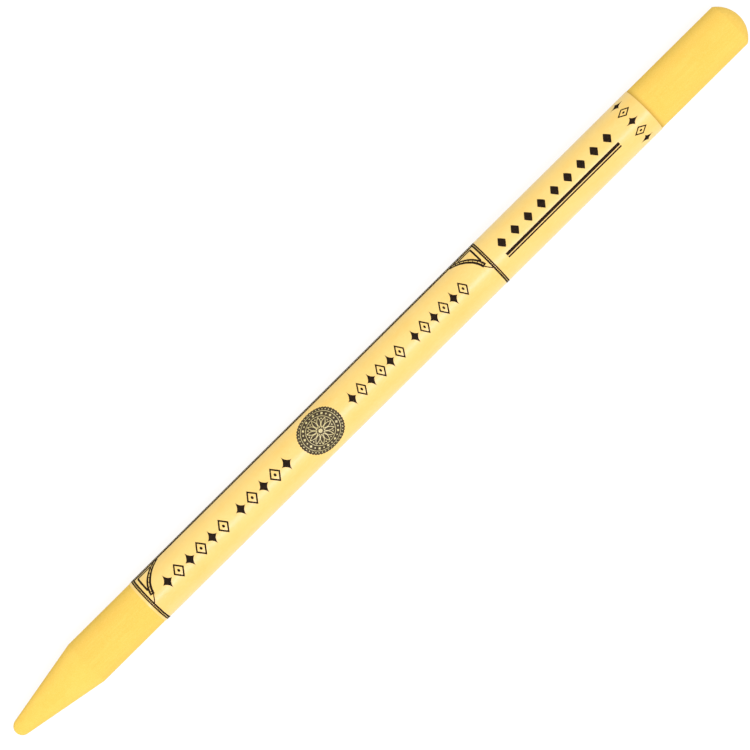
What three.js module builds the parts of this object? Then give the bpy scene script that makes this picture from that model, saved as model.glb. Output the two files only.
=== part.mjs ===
// A woodless pastel pencil: a solid round stick of pressed pastel, sharpened at one end and domed at
// the other, with a printed paper label rolled once round its middle and glued along a lapped seam.
//
// Millimetres. The pencil lies along X with its point towards -X. It rests on the plane z = 0, and the
// origin is under the middle of its length. Angles round the pencil are counted from the top, +Z, and
// grow towards -Y.
import * as THREE from 'three';

// Pastel stick
const LENGTH = 158.8;
const STICK_DIAMETER = 8.0;
const CONE_HALF_ANGLE = THREE.MathUtils.degToRad(10.3);
const POINT_RADIUS = 1.43;
const DOME_RADIUS = 4.9;
const DOME_CORNER_RADIUS = 0.35;

// Paper label
const LABEL_LENGTH = 109.0;
const LABEL_FROM_POINT = 28.9;
const LABEL_THICKNESS = 0.065;
const GLUE_FILM = 0.02;

// Lapped seam: the sheet starts under its own far end and runs once round to its free edge.
const SHEET_START_ANGLE = -151.875;
const SHEET_TURN = 405;
const SEAM_RAMP_ANGLE = 22.5;

// Glue
const GLUE_CLEARANCE = 0.003;
const GLUE_END_MARGIN = 0.8;
const SEAM_GLUE_ANGLES = [219.375, 241.875];
const ANCHOR_GLUE_ANGLES = [-140.625, -118.125];

// Facets: flats sit at the true radius, and one flat faces straight down.
const FACETS = 32;
const FACET_ANGLE = 360 / FACETS;
const POINT_STEPS = 6;
const DOME_STEPS = 7;
const CORNER_STEPS = 4;

const stickRadius = STICK_DIAMETER / 2;
const labelInnerRadius = stickRadius + GLUE_FILM;
const labelOuterRadius = labelInnerRadius + LABEL_THICKNESS;
const seamLift = LABEL_THICKNESS + GLUE_FILM;
const axisHeight = labelOuterRadius;
const pointX = -LENGTH / 2;
const labelStartX = pointX + LABEL_FROM_POINT;
const facetCornerScale = 1 / Math.cos(Math.PI / FACETS);

function arcPoints(centreX, centreRadius, radius, fromAngle, toAngle, steps) {
  // Profile points hold (distance from the axis, place along X). Angles start at +X and turn outwards.
  const points = [];
  for (let i = 0; i <= steps; i++) {
    const angle = fromAngle + ((toAngle - fromAngle) * i) / steps;
    const r = centreRadius + radius * Math.sin(angle);
    points.push(new THREE.Vector2(Math.max(r, 0), centreX + radius * Math.cos(angle)));
  }
  return points;
}

function pointProfile() {
  // A ball nose whose arc runs tangent into the sharpened cone.
  const centreX = pointX + POINT_RADIUS;
  return arcPoints(centreX, 0, POINT_RADIUS, Math.PI, Math.PI / 2 + CONE_HALF_ANGLE, POINT_STEPS);
}

function coneBase(noseEnd) {
  const coneLength = (stickRadius - noseEnd.x) / Math.tan(CONE_HALF_ANGLE);
  return new THREE.Vector2(stickRadius, noseEnd.y + coneLength);
}

function domeProfile() {
  // A shallow spherical end with a small rounded corner tangent to both the dome and the side.
  const endX = LENGTH / 2;
  const cornerCentreRadius = stickRadius - DOME_CORNER_RADIUS;
  const centreDistance = DOME_RADIUS - DOME_CORNER_RADIUS;
  const tangentAngle = Math.asin(cornerCentreRadius / centreDistance);
  const domeCentreX = endX - DOME_RADIUS;
  const cornerCentreX = domeCentreX + centreDistance * Math.cos(tangentAngle);
  const corner = arcPoints(
    cornerCentreX, cornerCentreRadius, DOME_CORNER_RADIUS, Math.PI / 2, tangentAngle, CORNER_STEPS,
  );
  const dome = arcPoints(domeCentreX, 0, DOME_RADIUS, tangentAngle, 0, DOME_STEPS);
  return [...corner, ...dome.slice(1)];
}

function onFacetCorners(profile) {
  return profile.map((p) => new THREE.Vector2(p.x * facetCornerScale, p.y));
}

function pastelStickGeometry() {
  const nose = pointProfile();
  const profile = onFacetCorners([...nose, coneBase(nose.at(-1)), ...domeProfile()]);
  const halfFacet = THREE.MathUtils.degToRad(FACET_ANGLE / 2);
  const geometry = new THREE.LatheGeometry(profile, FACETS, halfFacet);
  return geometry.rotateZ(-Math.PI / 2);
}

function sectionPoint(radius, angleDegrees) {
  // A point of a cross-section, before it is extruded and turned to lie along X.
  const angle = THREE.MathUtils.degToRad(angleDegrees);
  const r = radius * facetCornerScale;
  return new THREE.Vector2(-r * Math.cos(angle), -r * Math.sin(angle));
}

function bandGeometry(fromAngle, toAngle, innerRadiusAt, thickness, startX, length) {
  // A thin curved band: its inner side one way round, then its outer side back again.
  const steps = Math.round((toAngle - fromAngle) / FACET_ANGLE);
  const inner = [];
  const outer = [];
  for (let i = 0; i <= steps; i++) {
    const angle = fromAngle + i * FACET_ANGLE;
    inner.push(sectionPoint(innerRadiusAt(angle), angle));
    outer.push(sectionPoint(innerRadiusAt(angle) + thickness, angle));
  }
  const outline = new THREE.Shape([...inner, ...outer.reverse()]);
  const geometry = new THREE.ExtrudeGeometry(outline, { depth: length, bevelEnabled: false });
  return geometry.rotateY(Math.PI / 2).translate(startX, 0, 0);
}

function labelInnerRadiusAt(angle) {
  // The sheet hugs the stick, then climbs over its own first edge and stays one layer up.
  const lapStart = SHEET_START_ANGLE + 360;
  const climb = THREE.MathUtils.smoothstep(angle, lapStart - SEAM_RAMP_ANGLE, lapStart);
  return labelInnerRadius + seamLift * climb;
}

function paperLabelGeometry() {
  const sheetEndAngle = SHEET_START_ANGLE + SHEET_TURN;
  return bandGeometry(
    SHEET_START_ANGLE, sheetEndAngle, labelInnerRadiusAt, LABEL_THICKNESS, labelStartX, LABEL_LENGTH,
  );
}

function glueGeometry([fromAngle, toAngle], filmInnerRadius) {
  const inner = filmInnerRadius + GLUE_CLEARANCE;
  const thickness = GLUE_FILM - 2 * GLUE_CLEARANCE;
  const startX = labelStartX + GLUE_END_MARGIN;
  const length = LABEL_LENGTH - 2 * GLUE_END_MARGIN;
  return bandGeometry(fromAngle, toAngle, () => inner, thickness, startX, length);
}

function pastelMaterial() {
  return new THREE.MeshStandardMaterial({ color: 0xf9d565, roughness: 0.9, metalness: 0 });
}

function paperMaterial() {
  return new THREE.MeshStandardMaterial({ color: 0xfde184, roughness: 0.5, metalness: 0 });
}

function glueMaterial() {
  return new THREE.MeshStandardMaterial({ color: 0xf2ead2, roughness: 0.4, metalness: 0 });
}

function namedMesh(name, geometry, material) {
  const mesh = new THREE.Mesh(geometry, material);
  mesh.name = name;
  return mesh;
}

function pencil() {
  const group = new THREE.Group();
  group.position.set(0, 0, axisHeight);
  group.add(namedMesh('pastel_stick', pastelStickGeometry(), pastelMaterial()));
  group.add(namedMesh('paper_label', paperLabelGeometry(), paperMaterial()));
  group.add(namedMesh('seam_glue', glueGeometry(SEAM_GLUE_ANGLES, labelOuterRadius), glueMaterial()));
  group.add(namedMesh('anchor_glue', glueGeometry(ANCHOR_GLUE_ANGLES, stickRadius), glueMaterial()));
  return group;
}

const root = new THREE.Group();
root.add(pencil());

export default root;
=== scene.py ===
"""A woodless pastel pencil on a pale table: a yellow pastel stick in a rolled, printed paper label.

Lengths named with _MM are in millimetres, everything else is in metres, in the CAD model's frame: the
pencil lies along X with its point towards -X and rests on z = 0. Angles round the pencil start at the
top and grow towards -Y.
"""
import math

import bpy
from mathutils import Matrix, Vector, noise


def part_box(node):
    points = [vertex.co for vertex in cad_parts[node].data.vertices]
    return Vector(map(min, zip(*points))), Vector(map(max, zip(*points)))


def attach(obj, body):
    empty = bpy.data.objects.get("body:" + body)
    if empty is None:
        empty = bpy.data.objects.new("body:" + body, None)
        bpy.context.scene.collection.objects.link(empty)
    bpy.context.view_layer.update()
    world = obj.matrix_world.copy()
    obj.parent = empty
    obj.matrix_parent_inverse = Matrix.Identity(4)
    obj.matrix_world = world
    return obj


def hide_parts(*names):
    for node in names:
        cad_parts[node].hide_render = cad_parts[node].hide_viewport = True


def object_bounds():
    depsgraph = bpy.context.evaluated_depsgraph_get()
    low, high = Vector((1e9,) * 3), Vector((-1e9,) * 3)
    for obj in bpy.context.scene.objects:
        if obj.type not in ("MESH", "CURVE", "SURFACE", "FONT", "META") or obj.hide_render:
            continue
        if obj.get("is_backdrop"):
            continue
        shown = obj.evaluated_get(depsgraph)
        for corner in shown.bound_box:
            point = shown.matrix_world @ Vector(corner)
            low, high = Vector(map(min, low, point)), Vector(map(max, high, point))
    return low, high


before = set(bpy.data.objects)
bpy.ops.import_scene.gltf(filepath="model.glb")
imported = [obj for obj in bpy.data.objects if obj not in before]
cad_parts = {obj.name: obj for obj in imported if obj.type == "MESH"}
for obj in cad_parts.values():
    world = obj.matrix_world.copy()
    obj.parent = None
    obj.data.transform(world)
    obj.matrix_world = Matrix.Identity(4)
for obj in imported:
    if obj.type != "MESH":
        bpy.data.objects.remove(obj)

MM = 0.001
CAD_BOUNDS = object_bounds()
STICK_LOW, STICK_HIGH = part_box("pastel_stick")
LABEL_LOW, LABEL_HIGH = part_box("paper_label")

# Places and sizes worked out from the CAD model
STICK_RADIUS = (STICK_HIGH.z - STICK_LOW.z) / 2
LABEL_RADIUS = (LABEL_HIGH.z - LABEL_LOW.z) / 2
AXIS_Z = (STICK_HIGH.z + STICK_LOW.z) / 2
POINT_X, END_X = STICK_LOW.x, STICK_HIGH.x
LABEL_START, LABEL_END = LABEL_LOW.x, LABEL_HIGH.x

# Shape of the stick
CONE_HALF_ANGLE = math.radians(10.3)
POINT_RADIUS = 1.43 * MM
DOME_RADIUS = 4.9 * MM
DOME_CORNER_RADIUS = 0.35 * MM

# Shape of the rolled sheet
SHEET_START_ANGLE = math.radians(-151.875)
SHEET_TURN = math.radians(405)
SEAM_RAMP = math.radians(22.5)
PRINT_HEIGHT = 0.010 * MM
SHEET_THICKNESS = 0.055 * MM
GLUE_FILM = 0.02 * MM
GLUE_CLEARANCE = 0.003 * MM
GLUE_END_MARGIN = 0.8 * MM
GLUE_STEP = 4 * MM
ANCHOR_GLUE_DEG, SEAM_GLUE_DEG = (-140.625, -118.125), (219.375, 241.875)
SHEET_RADIUS = LABEL_RADIUS - PRINT_HEIGHT
SHEET_WAVE = 0.004 * MM
EDGE_LIFT = 0.03 * MM
EDGE_LIFT_REACH = 0.9 * MM
ROUND_STEP = math.radians(1.5)

# Printed layout, in millimetres along the sheet from its front edge and round it from the top
BORDER_WIDTH_MM, SIDE_BORDER_WIDTH_MM = 0.61, 1.41
FRAME_START_MM, FRAME_END_MM = 0.43, 75.47
FRAME_LEFT_DEG, FRAME_RIGHT_DEG = -87.0, 224.0

# The curved band across each corner, in millimetres from the corner of the window along and round: a
# wide sweep that turns more tightly towards its foot, and a fine tail from there to the border
SWEEP_CENTRE_MM, SWEEP_RADIUS_MM = (10.37, 9.57), 11.235
TURN_RADIUS_MM, CORNER_BAND_MM = 5.135, 0.80
CORNER_FOOT_DEG, CORNER_JOIN_DEG, CORNER_TOP_DEG = 194.5, 220.0, 240.0
TAIL_END_MM, PANEL_INSET_MM = (0.0, 5.66), (0.58, 0.34)

# Widths of printed lines, outer and inner where there are two, and the rungs between them
END_LINES_MM, SIDE_LINES_MM, CORNER_LINES_MM = (0.20, 0.26), (0.58, 0.50), (0.31, 0.36)
PANEL_LINE_MM, FOOT_LINE_MM, TAIL_LINE_MM = 0.31, 0.28, 0.17
RUNG_MM, RUNG_PITCH_MM, CORNER_RUNG_PITCH_MM = 0.15, 0.31, 0.70

# Rows of marks in groups (start, end, number of marks), and the round seal
FRONT_ROW_MM = ((3.58, 18.2, 6), (19.5, 32.0, 5))
BACK_ROW_MM = ((44.05, 56.45, 6), (57.7, 70.3, 6))
MEDALLION_AT_MM, MEDALLION_SQUASH, SEAL_HEIGHT_SHARE = (38.06, 0.0), 0.94, 0.6


# ---------------------------------------------------------------- geometry helpers


def on_axis(x, radius, angle):
    """The point at a distance and an angle from the pencil's axis."""
    return Vector((x, -radius * math.sin(angle), AXIS_Z + radius * math.cos(angle)))


def smoothstep(value, low, high):
    share = min(max((value - low) / (high - low), 0.0), 1.0)
    return share * share * (3 - 2 * share)


def spaced(start, end, step):
    """Evenly spaced values from start to end, no more than step apart."""
    count = max(1, math.ceil(abs(end - start) / step - 1e-9))
    return [start + (end - start) * i / count for i in range(count + 1)]


def make_object(name, vertices, faces, materials, face_materials=None, sharp_deg=35):
    mesh = bpy.data.meshes.new(name)
    mesh.from_pydata(vertices, [], faces)
    mesh.validate()
    for material in materials:
        mesh.materials.append(material)
    if face_materials:
        mesh.polygons.foreach_set("material_index", face_materials)
    mesh.shade_smooth()
    mesh.set_sharp_from_angle(angle=math.radians(sharp_deg))
    piece = bpy.data.objects.new(name, mesh)
    bpy.context.scene.collection.objects.link(piece)
    return piece


def on_root(piece, slot, *cad_nodes):
    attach(piece, "root")
    if cad_nodes:
        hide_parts(*cad_nodes)
    return piece


# ---------------------------------------------------------------- node material helpers


class Nodes:
    """A node material under construction, with one method for each kind of node it uses."""

    def __init__(self, name):
        self.material = bpy.data.materials.new(name)
        self.material.use_nodes = True
        self.tree = self.material.node_tree
        self.shader = self.tree.nodes["Principled BSDF"]
        coordinates = self.tree.nodes.new("ShaderNodeTexCoord")
        self.position = coordinates.outputs["Object"]

    def link(self, source, target):
        self.tree.links.new(source, target)

    def add(self, kind, **inputs):
        node = self.tree.nodes.new(kind)
        for name, value in inputs.items():
            self.put(node, name, value)
        return node

    def put(self, node, name, value):
        """Links another node's output to an input, or sets the input to a constant."""
        socket = node.inputs[name]
        if isinstance(value, bpy.types.NodeSocket):
            self.link(value, socket)
        else:
            socket.default_value = value

    def scaled(self, per_mm):
        """Object coordinates times a number of features per millimetre along X, Y and Z."""
        mapping = self.add("ShaderNodeMapping", Vector=self.position)
        mapping.inputs["Scale"].default_value = [s / MM for s in per_mm]
        return mapping.outputs["Vector"]

    def noise(self, per_mm, detail=3.0, roughness=0.55):
        node = self.add("ShaderNodeTexNoise", Vector=self.scaled(per_mm), Scale=1.0, Detail=detail,
                        Roughness=roughness)
        return node.outputs["Fac"]

    def spots(self, per_mm):
        node = self.add("ShaderNodeTexVoronoi", Vector=self.scaled(per_mm), Scale=1.0)
        return node.outputs["Distance"]

    def spread(self, value, low, high, to_low=0.0, to_high=1.0):
        node = self.add("ShaderNodeMapRange", Value=value)
        node.inputs["From Min"].default_value = low
        node.inputs["From Max"].default_value = high
        node.inputs["To Min"].default_value = to_low
        node.inputs["To Max"].default_value = to_high
        return node.outputs["Result"]

    def math(self, operation, a, b):
        node = self.tree.nodes.new("ShaderNodeMath")
        node.operation = operation
        self.put(node, 0, a)
        self.put(node, 1, b)
        return node.outputs[0]

    def mix(self, share, a, b):
        node = self.tree.nodes.new("ShaderNodeMix")
        node.data_type = "RGBA"
        share_input, first_colour, second_colour, colour_output = 0, 6, 7, 2
        self.put(node, share_input, share)
        self.put(node, first_colour, a)
        self.put(node, second_colour, b)
        return node.outputs[colour_output]

    def along(self):
        """Place along the pencil, in metres."""
        node = self.add("ShaderNodeSeparateXYZ", Vector=self.position)
        return node.outputs["X"]

    def bump(self, height, distance, strength=1.0, under=None):
        node = self.add("ShaderNodeBump", Height=height, Strength=strength, Distance=distance)
        if under:
            self.link(under, node.inputs["Normal"])
        return node.outputs["Normal"]


def rgb(red, green, blue):
    """A colour given as screen values from 0 to 255, as linear light."""
    def linear(value):
        value /= 255
        return value / 12.92 if value <= 0.04045 else ((value + 0.055) / 1.055) ** 2.4
    return linear(red), linear(green), linear(blue), 1.0


# ---------------------------------------------------------------- pastel stick


def cone_base_x():
    nose_end = POINT_RADIUS * (1 - math.sin(CONE_HALF_ANGLE))
    nose_end_radius = POINT_RADIUS * math.cos(CONE_HALF_ANGLE)
    return POINT_X + nose_end + (STICK_RADIUS - nose_end_radius) / math.tan(CONE_HALF_ANGLE)


def dome_corner():
    """Angle at which the end dome meets its rounded corner, and where that corner's centre is along X."""
    tangent = math.asin((STICK_RADIUS - DOME_CORNER_RADIUS) / (DOME_RADIUS - DOME_CORNER_RADIUS))
    centre_x = END_X - DOME_RADIUS + (DOME_RADIUS - DOME_CORNER_RADIUS) * math.cos(tangent)
    return tangent, centre_x


def stick_profile():
    """(x, radius) rows from the point to the domed end, close together where the pastel shows."""
    shown_step, hidden_step, arc_steps = 0.125 * MM, 2.5 * MM, 14
    corner_step, dome_step, tucked = math.radians(5), math.radians(1.6), 0.5 * MM
    rows = []
    for i in range(1, arc_steps + 1):
        angle = (math.pi / 2 - CONE_HALF_ANGLE) * i / arc_steps
        x = POINT_X + POINT_RADIUS * (1 - math.cos(angle))
        rows.append((x, POINT_RADIUS * math.sin(angle)))
    base_x = cone_base_x()
    nose_x, nose_radius = rows[-1]
    for x in spaced(nose_x, base_x, shown_step)[1:]:
        share = (x - nose_x) / (base_x - nose_x)
        rows.append((x, nose_radius + (STICK_RADIUS - nose_radius) * share))
    under_front, under_back = LABEL_START + tucked, LABEL_END - tucked
    tangent, corner_x = dome_corner()
    for start, end, step in ((base_x, under_front, shown_step), (under_front, under_back, hidden_step),
                             (under_back, corner_x, shown_step)):
        rows += [(x, STICK_RADIUS) for x in spaced(start, end, step)[1:]]
    for angle in spaced(math.pi / 2, tangent, corner_step)[1:]:
        x = corner_x + DOME_CORNER_RADIUS * math.cos(angle)
        rows.append((x, STICK_RADIUS - DOME_CORNER_RADIUS * (1 - math.sin(angle))))
    for angle in spaced(tangent, 0, dome_step)[1:-1]:
        rows.append((END_X - DOME_RADIUS * (1 - math.cos(angle)), DOME_RADIUS * math.sin(angle)))
    return rows


def pastel_surface(point, x, radius):
    """How far the pressed pastel lies below its true surface: broad dents, fine pits, cut marks."""
    margin, most_of_radius = 0.3 * MM, 0.2
    dent_depth, pit_depth, mark_depth = 0.010 * MM, 0.022 * MM, 0.007 * MM
    dents_per_m, pits_per_m, marks_per_m, marks_across_per_m = 420, 2600, 5200, 260
    if LABEL_START + margin < x < LABEL_END - margin:
        return 0.0
    dents = noise.fractal(point * dents_per_m, 0.8, 2.0, 3) * 0.5 + 0.5
    pits = max(0.0, noise.noise(point * pits_per_m) - 0.35)
    depth = dent_depth * dents + pit_depth * pits
    if x < cone_base_x():
        marks = noise.noise(Vector((point.x * marks_per_m, point.y * marks_across_per_m,
                                    point.z * marks_across_per_m)))
        depth += mark_depth * (marks * 0.5 + 0.5)
    return min(depth, radius * most_of_radius)


def make_pastel_stick(material):
    columns = 184
    rows = stick_profile()
    vertices = [on_axis(POINT_X, 0, 0)]
    for x, radius in rows:
        for column in range(columns):
            angle = 2 * math.pi * column / columns
            depth = pastel_surface(on_axis(x, radius, angle), x, radius)
            vertices.append(on_axis(x, radius - depth, angle))
    vertices.append(on_axis(END_X, 0, 0))
    last = len(vertices) - 1
    faces = []
    for column in range(columns):
        after = (column + 1) % columns
        faces.append((0, 1 + after, 1 + column))
        for row in range(len(rows) - 1):
            near, far = 1 + row * columns, 1 + (row + 1) * columns
            faces.append((near + column, near + after, far + after, far + column))
        rim = 1 + (len(rows) - 1) * columns
        faces.append((last, rim + column, rim + after))
    piece = make_object("pastel_body", vertices, faces, [material], sharp_deg=60)
    return on_root(piece, "pastel", "pastel_stick")


def pastel_material():
    """Pressed pastel: powdery and matt, drawn out along the stick, paler and ringed where it is cut, with a
    painted shadow at the label's back edge.
    """
    n = Nodes("pastel")
    skin, skin_dark = rgb(237, 201, 91), rgb(234, 195, 84)
    cut, cut_light = rgb(236, 196, 84), rgb(238, 201, 90)
    dust, hollow = rgb(240, 220, 136), rgb(207, 161, 57)
    # Colour and reach of the painted shadow that the label's back edge casts on the pastel
    speck, label_edge_shadow = rgb(213, 172, 68), rgb(172, 128, 44)
    shadow_reach, shadow_strength = 0.95 * MM, 0.66
    clouds = n.spread(n.noise((0.22, 0.5, 0.5), 4), 0.34, 0.66)
    streaks = n.spread(n.noise((0.12, 3.2, 3.2), 3), 0.38, 0.66)
    grain = n.noise((8.5, 8.5, 8.5), 4, 0.65)
    rings = n.noise((7.0, 0.45, 0.45), 3)
    specks = n.spread(n.spots((2.4, 2.4, 2.4)), 0.10, 0.24)
    on_cone = n.spread(n.along(), cone_base_x() + 0.45 * MM, cone_base_x() + 0.10 * MM)
    skin_tone = n.mix(n.math("MULTIPLY", clouds, streaks), skin_dark, skin)
    cut_tone = n.mix(n.spread(n.math("ADD", clouds, rings), 0.4, 1.5), cut, cut_light)
    tone = n.mix(on_cone, skin_tone, cut_tone)
    dusted = n.mix(n.spread(grain, 0.50, 0.72, 0.0, 0.36), tone, dust)
    shaded = n.mix(n.spread(grain, 0.46, 0.28, 0.0, 0.38), dusted, hollow)
    speckled = n.mix(n.spread(specks, 1.0, 0.0, 0.0, 0.22), shaded, speck)
    # Painted shadow: the pastel is darkened in a band round the label's back edge, in place of the shade
    # that the paper's edge casts
    from_edge = n.math("SUBTRACT", n.along(), LABEL_END)
    by_label = n.spread(n.math("ABSOLUTE", from_edge, 0.0), shadow_reach, 0.0)
    painted_shadow = n.math("MULTIPLY", n.math("POWER", by_label, 2.0), shadow_strength)
    n.put(n.shader, "Base Color", n.mix(painted_shadow, speckled, label_edge_shadow))
    n.put(n.shader, "Roughness", n.spread(grain, 0.3, 0.7, 0.82, 0.96))
    n.put(n.shader, "Diffuse Roughness", 0.6)
    n.put(n.shader, "Specular IOR Level", 0.08)
    powder = n.bump(grain, 0.030 * MM, 0.6)
    scraped = n.bump(n.math("MULTIPLY", rings, on_cone), 0.022 * MM, 0.5, powder)
    drawn = n.bump(n.noise((0.25, 5.0, 5.0), 2), 0.008 * MM, 0.5, scraped)
    n.put(n.shader, "Normal", drawn)
    return n.material


# ---------------------------------------------------------------- rolled sheet


def sheet_surface(x, angle):
    """Radius of the sheet's printed side, counted along the sheet so that the lap is one layer up."""
    lap_start = SHEET_START_ANGLE + 2 * math.pi
    climb = smoothstep(angle, lap_start - SEAM_RAMP, lap_start)
    layer = (SHEET_THICKNESS + GLUE_FILM + PRINT_HEIGHT) * climb
    round_it = Vector((x * 60, math.sin(angle) * 1.3, math.cos(angle) * 1.3))
    wave = SHEET_WAVE * (0.5 + 0.5 * noise.noise(round_it))
    upper_side = 0.5 + 0.5 * math.cos(angle)
    lift = EDGE_LIFT * smoothstep(x, LABEL_END - EDGE_LIFT_REACH, LABEL_END) * upper_side
    return SHEET_RADIUS + layer - wave + lift


def sheet_rows():
    """Places along the sheet: close together at both ends, where its edges lift and wear."""
    close, far, edge = 0.15 * MM, 1.1 * MM, 1.5 * MM
    front = spaced(LABEL_START, LABEL_START + edge, close)
    middle = spaced(LABEL_START + edge, LABEL_END - edge, far)
    back = spaced(LABEL_END - edge, LABEL_END, close)
    return front + middle[1:] + back[1:]


def curled_band(rows, angles, outer_radius, thickness):
    """Vertices and faces of a thin closed band, with a list saying which faces are cut edges."""
    across = len(angles)
    vertices = []
    for inset in (0.0, thickness):
        for x in rows:
            for angle in angles:
                vertices.append(on_axis(x, outer_radius(x, angle) - inset, angle))
    inner = len(rows) * across
    faces, edges = [], []
    for row in range(len(rows) - 1):
        for column in range(across - 1):
            a = row * across + column
            b, c, d = a + 1, a + across + 1, a + across
            faces += [(a, b, c, d), (a + inner, d + inner, c + inner, b + inner)]
            edges += [0, 1]
    last_row, last_column = (len(rows) - 1) * across, across - 1
    for column in range(across - 1):
        for start, flip in ((0, False), (last_row, True)):
            a, b = start + column, start + column + 1
            quad = (a, a + inner, b + inner, b)
            faces.append(quad[::-1] if flip else quad)
            edges.append(2)
    for row in range(len(rows) - 1):
        for column, flip in ((0, True), (last_column, False)):
            a, b = row * across + column, (row + 1) * across + column
            quad = (a, a + inner, b + inner, b)
            faces.append(quad[::-1] if flip else quad)
            edges.append(2)
    return vertices, faces, edges


def make_label(printed_side, back_side, cut_edge):
    angles = spaced(SHEET_START_ANGLE, SHEET_START_ANGLE + SHEET_TURN, ROUND_STEP)
    vertices, faces, kinds = curled_band(sheet_rows(), angles, sheet_surface, SHEET_THICKNESS)
    piece = make_object("label_sheet", vertices, faces, [printed_side, back_side, cut_edge], kinds)
    return on_root(piece, "label_paper", "paper_label")


def make_glue(name, node, span_deg, inner_radius, material):
    rows = spaced(LABEL_START + GLUE_END_MARGIN, LABEL_END - GLUE_END_MARGIN, GLUE_STEP)
    start, end = (math.radians(degrees) for degrees in span_deg)
    angles = spaced(start, end, ROUND_STEP)
    thickness = GLUE_FILM - 2 * GLUE_CLEARANCE - SHEET_WAVE
    outer = inner_radius + GLUE_CLEARANCE + thickness
    vertices, faces, _ = curled_band(rows, angles, lambda x, angle: outer, thickness)
    piece = make_object(name, vertices, faces, [material])
    return on_root(piece, "glue", node)


def paper_material():
    """Smooth tinted label paper: fine fibres, faint clouding, a soft satin gloss."""
    n = Nodes("label_paper")
    tint, tint_deep, fibre = rgb(237, 205, 117), rgb(235, 200, 108), rgb(238, 211, 136)
    clouds = n.spread(n.noise((0.16, 0.3, 0.3), 4), 0.32, 0.68)
    fibres = n.noise((1.6, 6.0, 6.0), 4, 0.6)
    flecks = n.noise((11.0, 11.0, 11.0), 2)
    tone = n.mix(clouds, tint_deep, tint)
    threaded = n.mix(n.spread(fibres, 0.50, 0.74, 0.0, 0.45), tone, fibre)
    flecked = n.mix(n.spread(flecks, 0.42, 0.28, 0.0, 0.22), threaded, rgb(221, 179, 80))
    n.put(n.shader, "Base Color", flecked)
    n.put(n.shader, "Roughness", n.spread(fibres, 0.3, 0.7, 0.27, 0.35))
    n.put(n.shader, "Diffuse Roughness", 0.6)
    n.put(n.shader, "Specular IOR Level", 0.35)
    tooth = n.bump(fibres, 0.006 * MM, 0.5)
    n.put(n.shader, "Normal", n.bump(flecks, 0.004 * MM, 0.4, tooth))
    return n.material


def paper_back_material():
    """The sheet's unprinted side: paler and matt."""
    n = Nodes("label_back")
    fibres = n.noise((2.0, 6.0, 6.0), 4, 0.6)
    n.put(n.shader, "Base Color", n.mix(fibres, rgb(240, 226, 178), rgb(250, 242, 208)))
    n.put(n.shader, "Roughness", n.spread(fibres, 0.3, 0.7, 0.75, 0.9))
    n.put(n.shader, "Normal", n.bump(fibres, 0.008 * MM, 0.5))
    return n.material


def cut_edge_material():
    """The sheet's trimmed edges, where the pale core of the paper shows."""
    n = Nodes("label_cut_edge")
    fluff = n.noise((14.0, 14.0, 14.0), 3)
    n.put(n.shader, "Base Color", n.mix(fluff, rgb(252, 226, 150), rgb(255, 244, 205)))
    n.put(n.shader, "Roughness", n.spread(fluff, 0.3, 0.7, 0.8, 0.95))
    return n.material


def glue_material():
    """A dried film of clear adhesive, slightly cloudy."""
    n = Nodes("glue")
    haze = n.noise((0.8, 2.0, 2.0), 3)
    n.put(n.shader, "Base Color", n.mix(haze, rgb(232, 220, 180), rgb(248, 240, 214)))
    n.put(n.shader, "Roughness", n.spread(haze, 0.3, 0.7, 0.25, 0.45))
    n.put(n.shader, "Normal", n.bump(haze, 0.004 * MM, 0.4))
    return n.material


# ---------------------------------------------------------------- printing


class Print:
    """Printed shapes on the sheet, drawn flat in millimetres (along, round) and wrapped as thin solids.

    A shape reaches from just inside the paper up to height, and follows the paper's own surface."""

    STEP_MM = 0.25
    SUNK = 0.004 * MM

    def __init__(self, name, material, height=PRINT_HEIGHT):
        self.name, self.material, self.height = name, material, height
        self.vertices, self.faces = [], []

    def wrapped(self, point, height):
        along, around = point
        x, angle = LABEL_START + along * MM, around * MM / SHEET_RADIUS
        return on_axis(x, sheet_surface(x, angle) + height, angle)

    def slab(self, points, faces):
        """Adds a flat patch, given by its points and faces, as a closed solid of even thickness."""
        first, count = len(self.vertices), len(points)
        self.vertices += [self.wrapped(p, self.height) for p in points]
        self.vertices += [self.wrapped(p, -self.SUNK) for p in points]
        directed = {(f[i], f[(i + 1) % len(f)]) for f in faces for i in range(len(f))}
        for face in faces:
            self.faces.append(tuple(first + i for i in face))
            self.faces.append(tuple(first + count + i for i in reversed(face)))
        for a, b in sorted(directed):
            if (b, a) not in directed:
                self.faces.append((first + b, first + a, first + count + a, first + count + b))

    def ladder(self, right, left, closed=False):
        """The patch between two lines of as many points each."""
        count = len(right)
        faces = []
        for i in range(count if closed else count - 1):
            j = (i + 1) % count
            faces.append((i, count + i, count + j, j))
        self.slab(right + left, faces)

    def line(self, points, width, closed=False):
        """A line of even width along points; a long straight stretch is divided so that it wraps."""
        path = divided(points, self.STEP_MM, closed)
        self.ladder(shifted(path, -width / 2, closed), shifted(path, width / 2, closed), closed)

    def blob(self, centre, outline):
        """A filled shape seen whole from its centre, in rings that are close enough to wrap.

        Its outline turns from along towards round, as every outline here does."""
        reach = max(math.dist(centre, p) for p in outline)
        rings = max(1, math.ceil(reach / self.STEP_MM))
        count = len(outline)
        points = [centre]
        for ring in range(1, rings + 1):
            share = ring / rings
            points += [tuple(c + (p - c) * share for c, p in zip(centre, q)) for q in outline]
        faces = [(0, 1 + (i + 1) % count, 1 + i) for i in range(count)]
        for ring in range(rings - 1):
            near, far = 1 + ring * count, 1 + (ring + 1) * count
            for i in range(count):
                j = (i + 1) % count
                faces.append((near + i, near + j, far + j, far + i))
        self.slab(points, faces)

    def band(self, outer, inner):
        """The patch between two closed outlines of as many points each."""
        self.ladder(outer, inner, closed=True)

    def finish(self, slot="label_ink"):
        piece = make_object(self.name, self.vertices, self.faces, [self.material])
        return on_root(piece, slot)


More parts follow.
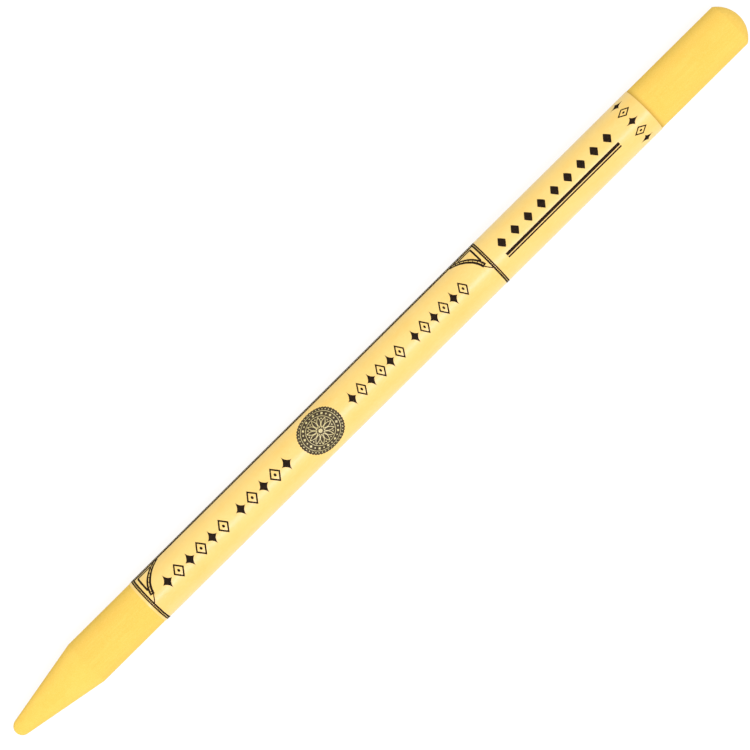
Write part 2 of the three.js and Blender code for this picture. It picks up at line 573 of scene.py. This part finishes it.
def divided(points, step, closed):
    """The same path with extra points, so that no stretch round the pencil is longer than step."""
    pairs = list(zip(points, points[1:] + points[:1])) if closed else list(zip(points, points[1:]))
    path = []
    for (x0, y0), (x1, y1) in pairs:
        pieces = max(1, math.ceil(max(abs(y1 - y0) / step, abs(x1 - x0) / (4 * step)) - 1e-9))
        path += [(x0 + (x1 - x0) * i / pieces, y0 + (y1 - y0) * i / pieces) for i in range(pieces)]
    return path if closed else path + [points[-1]]


def shifted(path, distance, closed=False):
    """A line at the given distance from the path, to its left."""
    count = len(path)
    line = []
    for i in range(count):
        before = path[i - 1] if closed or i else path[i]
        after = path[(i + 1) % count] if closed or i < count - 1 else path[i]
        dx, dy = after[0] - before[0], after[1] - before[1]
        length = math.hypot(dx, dy)
        line.append((path[i][0] - dy / length * distance, path[i][1] + dx / length * distance))
    return line


def superellipse(centre, half_along, half_around, power, points=32):
    """Power 2 is an ellipse, 1 a lozenge, and under 1 a star with four points."""
    outline = []
    for i in range(points):
        angle = 2 * math.pi * i / points
        c, s = math.cos(angle), math.sin(angle)
        outline.append((centre[0] + half_along * math.copysign(abs(c) ** (2 / power), c),
                        centre[1] + half_around * math.copysign(abs(s) ** (2 / power), s)))
    return outline


def arc(centre, radius, start_deg, end_deg, step_mm=0.25):
    step = math.degrees(step_mm / radius)
    return [(centre[0] + radius * math.cos(math.radians(a)), centre[1] + radius * math.sin(math.radians(a)))
            for a in spaced(start_deg, end_deg, step)]


def round_mm(degrees):
    """Distance round the sheet from the top, in millimetres."""
    return math.radians(degrees) * SHEET_RADIUS / MM


def walk(path, pitch):
    """Points and directions along a path, evenly spaced and about one pitch apart."""
    lengths = [math.dist(a, b) for a, b in zip(path, path[1:])]
    total = sum(lengths)
    count = int(total / pitch)
    walked, index = 0.0, 0
    for step in range(count):
        at = (step + 0.5) * total / count
        while walked + lengths[index] < at:
            walked += lengths[index]
            index += 1
        (x0, y0), (x1, y1) = path[index], path[index + 1]
        share, length = (at - walked) / lengths[index], lengths[index]
        yield (x0 + (x1 - x0) * share, y0 + (y1 - y0) * share), ((x1 - x0) / length, (y1 - y0) / length)


def engraved_border(ink, points, window_side, width, lines, pitch=RUNG_PITCH_MM):
    """A fine line and a stronger one with rungs between them, the stronger one on the window's side.

    window_side is 1 where the window lies to the left of the path and -1 where it lies to the right.
    lines holds the widths of the two lines, outer and inner."""
    path = divided(points, ink.STEP_MM, closed=False)
    for weight, side in zip(lines, (-window_side, window_side)):
        ink.line(shifted(path, side * (width - weight) / 2), weight)
    reach = (width - min(lines)) / 2
    for (x, y), (dx, dy) in walk(path, pitch):
        nx, ny = -dy * reach, dx * reach
        ink.line([(x - nx, y - ny), (x + nx, y + ny)], RUNG_MM)


def window_edges():
    """Edges of the window inside the frame: front, back, left and right."""
    front, back = FRAME_START_MM + BORDER_WIDTH_MM, FRAME_END_MM - BORDER_WIDTH_MM
    left, right = round_mm(FRAME_LEFT_DEG), round_mm(FRAME_RIGHT_DEG)
    return front, back, left + SIDE_BORDER_WIDTH_MM, right - SIDE_BORDER_WIDTH_MM


def print_frame(material):
    ink = Print("print_frame", material)
    front, back, left, right = window_edges()
    half, side_half = BORDER_WIDTH_MM / 2, SIDE_BORDER_WIDTH_MM / 2
    for along, window_side in ((front - half, -1), (back + half, 1)):
        ends = [(along, left - 2 * side_half), (along, right + 2 * side_half)]
        engraved_border(ink, ends, window_side, BORDER_WIDTH_MM, END_LINES_MM)
    for around, window_side in ((left - side_half, 1), (right + side_half, -1)):
        side = [(front, around), (back, around)]
        engraved_border(ink, side, window_side, SIDE_BORDER_WIDTH_MM, SIDE_LINES_MM)
    return ink.finish()


def turn_centre():
    """Centre of the tighter turn at the band's foot, which runs on smoothly from the sweep."""
    join, step = math.radians(CORNER_JOIN_DEG), SWEEP_RADIUS_MM - TURN_RADIUS_MM
    return SWEEP_CENTRE_MM[0] + step * math.cos(join), SWEEP_CENTRE_MM[1] + step * math.sin(join)


def corner_line(offset):
    """The line at a distance from the middle of the band towards the corner, from foot to top."""
    turn = arc(turn_centre(), TURN_RADIUS_MM + offset, CORNER_FOOT_DEG, CORNER_JOIN_DEG)
    sweep = arc(SWEEP_CENTRE_MM, SWEEP_RADIUS_MM + offset, CORNER_JOIN_DEG, CORNER_TOP_DEG)
    return turn + sweep[1:]


def print_corners(material):
    """A curved band across each corner of the window, with a small panel behind it."""
    ink = Print("print_corners", material)
    front, back, left, right = window_edges()
    half = CORNER_BAND_MM / 2
    foot = [corner_line(-half)[0], corner_line(half)[0]]
    tail = [corner_line(CORNER_LINES_MM[1] / 2 - half)[0], TAIL_END_MM]
    for along, inward in ((front, 1), (back, -1)):
        for around, upward in ((left, 1), (right, -1)):
            def placed(points):
                return [(along + inward * a, around + upward * b) for a, b in points]
            engraved_border(ink, placed(corner_line(0.0)), inward * upward, CORNER_BAND_MM,
                            CORNER_LINES_MM, CORNER_RUNG_PITCH_MM)
            ink.line(placed(foot), FOOT_LINE_MM)
            ink.line(placed(tail), TAIL_LINE_MM)
            print_corner_panel(ink, placed)
    return ink.finish()


def print_corner_panel(ink, placed):
    """The two straight sides of the panel between a corner of the window and its curved band."""
    turn_along, turn_around = turn_centre()
    sweep_along, sweep_around = SWEEP_CENTRE_MM
    inset_along, inset_around = PANEL_INSET_MM
    turn, sweep = TURN_RADIUS_MM + CORNER_BAND_MM / 2, SWEEP_RADIUS_MM + CORNER_BAND_MM / 2
    reach_around = turn_around - math.sqrt(turn ** 2 - (turn_along - inset_along) ** 2)
    reach_along = sweep_along - math.sqrt(sweep ** 2 - (sweep_around - inset_around) ** 2)
    ink.line(placed([(inset_along, reach_around), (inset_along, inset_around)]), PANEL_LINE_MM)
    ink.line(placed([(inset_along, inset_around), (reach_along, inset_around)]), PANEL_LINE_MM)


def star_mark(ink, centre, half_along, half_around):
    power, points = 0.62, 40
    ink.blob(centre, superellipse(centre, half_along, half_around, power, points))


def lozenge_mark(ink, centre, half_along, half_around):
    opening, dot, step = 0.69, 0.2, 0.2
    outer = divided(superellipse(centre, half_along, half_around, 1.0, 4), step, closed=True)
    inner = [tuple(c + (p - c) * opening for c, p in zip(centre, q)) for q in outer]
    ink.band(outer, inner)
    ink.blob(centre, superellipse(centre, dot * half_along, dot * half_around, 2.0, 12))


def print_row(name, material, groups):
    """Groups of stars and lozenges by turns along the pencil, each group (start, end, marks)."""
    ink = Print(name, material)
    middle, half_height, half_width_share = -0.10, 1.38, 0.43
    for start, end, marks in groups:
        pitch = (end - start) / marks
        for i in range(marks):
            draw = lozenge_mark if i % 2 else star_mark
            draw(ink, (start + pitch * (i + 0.5), middle), pitch * half_width_share, half_height)
    return ink.finish()


def print_title(material):
    """Nine solid lozenges over a thick and a thin rule."""
    ink = Print("print_title", material)
    start, end, middle, count = 77.76, 102.33, -0.99, 9
    half_along, half_around, power, rules = 0.80, 0.98, 1.05, ((0.66, 1.15), (1.31, 1.57))
    for i in range(count):
        along = start + half_along + (end - start - 2 * half_along) * i / (count - 1)
        ink.blob((along, middle), superellipse((along, middle), half_along, half_around, power, 24))
    for low, high in rules:
        ink.line([(start, (low + high) / 2), (end, (low + high) / 2)], high - low)
    return ink.finish()


def print_ring_marks(material):
    """Five marks round the pencil near the back edge of the label."""
    ink = Print("print_ring_marks", material)
    along, first, pitch, count, half_along, half_around = 106.16, -4.1, 2.0, 5, 1.27, 0.76
    for i in range(count):
        draw = lozenge_mark if i % 2 else star_mark
        draw(ink, (along, first + pitch * i), half_along, half_around)
    return ink.finish()


def medallion_point(radius, degrees):
    angle = math.radians(degrees)
    return (MEDALLION_AT_MM[0] + radius * math.cos(angle),
            MEDALLION_AT_MM[1] + radius * math.sin(angle) * MEDALLION_SQUASH)


def medallion_circle(radius, points=144):
    return [medallion_point(radius, 360 * i / points) for i in range(points)]


def print_medallion(material):
    """A dark round seal with a scalloped edge."""
    ink = Print("print_medallion", material, height=PRINT_HEIGHT * SEAL_HEIGHT_SHARE)
    scallops, radius, depth = 48, 3.97, 0.05
    outline = [medallion_point(radius + depth * math.cos(math.radians(scallops * a)), a)
               for a in spaced(0, 360, 1.25)[:-1]]
    ink.blob(MEDALLION_AT_MM, outline)
    return ink.finish()


def medallion_petal(gold, degrees, near, far, half_width):
    """A pointed petal, outlined, from near to far out from the seal's middle."""
    line_width, least_radius = 0.10, 0.4
    for turn in (1, -1):
        side = []
        for share in spaced(0, 1, 0.1):
            radius = near + (far - near) * share
            swing = math.degrees(half_width * math.sin(math.pi * share) / max(radius, least_radius))
            side.append(medallion_point(radius, degrees + turn * swing))
        gold.line(side, line_width)


def print_medallion_detail(material):
    """A plain rosette in pale gold over the seal: rings, beads, lozenges and petals."""
    gold = Print("print_medallion_detail", material)
    ring_width, beads, lozenges, petals = 0.08, 40, 24, 12
    bead_ring, lozenge_ring, seed_ring, bead, seed = 3.62, 2.86, 2.02, 0.10, 0.11
    petal_start, petal_end, petal_half_width = 0.55, 2.25, 0.30
    for radius in (3.30, 2.42):
        outer, inner = (medallion_circle(radius + side * ring_width / 2) for side in (1, -1))
        gold.band(outer, inner)
    for i in range(beads):
        centre = medallion_point(bead_ring, 360 / beads * i)
        gold.blob(centre, superellipse(centre, bead, bead, 2.0, 10))
    for i in range(lozenges):
        centre = medallion_point(lozenge_ring, 360 / lozenges * i)
        size = 0.24 if i % 2 else 0.15
        gold.blob(centre, superellipse(centre, size, size, 1.0, 8))
    for i in range(petals):
        medallion_petal(gold, 360 / petals * i, petal_start, petal_end, petal_half_width)
        centre = medallion_point(seed_ring, 360 / petals * (i + 0.5))
        gold.blob(centre, superellipse(centre, seed, seed, 2.0, 10))
    gold.blob(MEDALLION_AT_MM, superellipse(MEDALLION_AT_MM, 0.34, 0.32, 2.0, 24))
    return gold.finish("label_gold_ink")


def ink_material():
    """Dark brown printing ink that lies a little unevenly on the paper."""
    n = Nodes("label_ink")
    mottle = n.noise((3.0, 3.0, 3.0), 4, 0.65)
    pinholes = n.spread(n.noise((16.0, 16.0, 16.0), 2), 0.30, 0.38, 0.35, 0.0)
    tone = n.mix(n.spread(mottle, 0.35, 0.68), rgb(22, 14, 7), rgb(44, 32, 20))
    n.put(n.shader, "Base Color", n.mix(pinholes, tone, rgb(104, 82, 44)))
    n.put(n.shader, "Roughness", n.spread(mottle, 0.3, 0.7, 0.62, 0.78))
    n.put(n.shader, "Specular IOR Level", 0.05)
    n.put(n.shader, "Normal", n.bump(mottle, 0.004 * MM, 0.5))
    return n.material


def seal_ink_material():
    """The seal's ink: greyer than the lines, and worn through in fine flecks."""
    n = Nodes("seal_ink")
    mottle = n.noise((1.6, 1.6, 1.6), 4, 0.7)
    flecks = n.spread(n.noise((9.0, 9.0, 9.0), 3, 0.6), 0.52, 0.66, 0.0, 0.55)
    tone = n.mix(n.spread(mottle, 0.35, 0.66), rgb(46, 38, 27), rgb(78, 68, 50))
    n.put(n.shader, "Base Color", n.mix(flecks, tone, rgb(138, 122, 84)))
    n.put(n.shader, "Roughness", n.spread(mottle, 0.3, 0.7, 0.6, 0.78))
    n.put(n.shader, "Specular IOR Level", 0.08)
    n.put(n.shader, "Normal", n.bump(mottle, 0.004 * MM, 0.5))
    return n.material


def gold_ink_material():
    """Pale gold ink, matt and slightly broken up."""
    n = Nodes("seal_gold")
    mottle = n.noise((5.0, 5.0, 5.0), 4, 0.65)
    tone = n.mix(n.spread(mottle, 0.36, 0.62), rgb(176, 158, 98), rgb(226, 210, 142))
    n.put(n.shader, "Base Color", tone)
    n.put(n.shader, "Roughness", n.spread(mottle, 0.3, 0.7, 0.4, 0.6))
    n.put(n.shader, "Normal", n.bump(mottle, 0.004 * MM, 0.5))
    return n.material


# ---------------------------------------------------------------- table, light and camera


def make_floor():
    """A plain white table that gives off most of its own light, so that it stays white round the pencil."""
    size, glow = 3.0, 0.82
    shade_low, shade_high = (0.19, 0.19, 0.19, 1.0), (0.21, 0.21, 0.21, 1.0)
    corners = [(-size, -size, 0), (size, -size, 0), (size, size, 0), (-size, size, 0)]
    n = Nodes("table")
    paper = n.noise((0.02, 0.02, 0.02), 3)
    n.put(n.shader, "Base Color", n.mix(paper, shade_low, shade_high))
    n.put(n.shader, "Roughness", 0.9)
    n.put(n.shader, "Specular IOR Level", 0.1)
    n.put(n.shader, "Emission Color", (1.0, 1.0, 1.0, 1.0))
    n.put(n.shader, "Emission Strength", glow)
    mesh = bpy.data.meshes.new("table")
    mesh.from_pydata(corners, [], [(0, 1, 2, 3)])
    mesh.materials.append(n.material)
    floor = bpy.data.objects.new("table", mesh)
    bpy.context.scene.collection.objects.link(floor)
    floor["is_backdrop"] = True


def make_softbox(name, direction, distance, size, power, colour=(1.0, 1.0, 1.0)):
    """A rectangular lamp at a distance in a direction from the origin, facing it."""
    light = bpy.data.lights.new(name, "AREA")
    light.shape = "RECTANGLE"
    light.size, light.size_y = size
    light.energy = power
    light.color = colour
    lamp = bpy.data.objects.new(name, light)
    towards = Vector(direction).normalized()
    lamp.location = towards * distance
    lamp.rotation_euler = towards.to_track_quat("Z", "Y").to_euler()
    bpy.context.scene.collection.objects.link(lamp)


def make_world(strength):
    world = bpy.data.worlds.new("studio")
    world.use_nodes = True
    background = world.node_tree.nodes["Background"]
    background.inputs["Color"].default_value = (1.0, 1.0, 1.0, 1.0)
    background.inputs["Strength"].default_value = strength
    bpy.context.scene.world = world


def make_camera():
    """Straight above the pencil, turned so that the point is at the lower left of the picture."""
    distance, frame_width, turn = 0.607, 0.117, math.radians(-44.735)
    data = bpy.data.cameras.new("camera")
    data.sensor_width = 36.0
    data.lens = data.sensor_width * distance / frame_width
    data.clip_start, data.clip_end = 0.01, 20.0
    camera = bpy.data.objects.new("camera", data)
    camera.location = (-0.36 * MM, 0.20 * MM, AXIS_Z + distance)
    camera.rotation_euler = (0.0, 0.0, turn)
    bpy.context.scene.collection.objects.link(camera)
    bpy.context.scene.camera = camera


def light_scene():
    """A large key above, a strip for the pale streak along the paper, and a low rake from the point."""
    bpy.context.scene.view_settings.view_transform = "Standard"
    make_world(0.24)
    make_softbox("key", (0.0, 0.02, 1.0), 0.8, (2.20, 2.20), 16.2)
    make_softbox("strip", (-0.03, -0.31, 0.95), 0.8, (0.60, 0.20), 3.2, (0.80, 0.84, 1.35))
    make_softbox("rake", (-1.0, -0.25, 0.40), 2.0, (0.75, 0.75), 6.9)


# ---------------------------------------------------------------- the scene

make_camera()
light_scene()
make_floor()

make_pastel_stick(pastel_material())
make_label(paper_material(), paper_back_material(), cut_edge_material())
glue = glue_material()
make_glue("anchor_glue_film", "anchor_glue", ANCHOR_GLUE_DEG, STICK_RADIUS, glue)
make_glue("seam_glue_film", "seam_glue", SEAM_GLUE_DEG, SHEET_RADIUS, glue)

ink = ink_material()
print_frame(ink)
print_corners(ink)
print_row("print_row_front", ink, FRONT_ROW_MM)
print_row("print_row_back", ink, BACK_ROW_MM)
print_title(ink)
print_ring_marks(ink)
print_medallion(seal_ink_material())
print_medallion_detail(gold_ink_material())

boxes = {"cad": CAD_BOUNDS, "visual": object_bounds()}
{name: [list(corner) for corner in box] for name, box in boxes.items()}
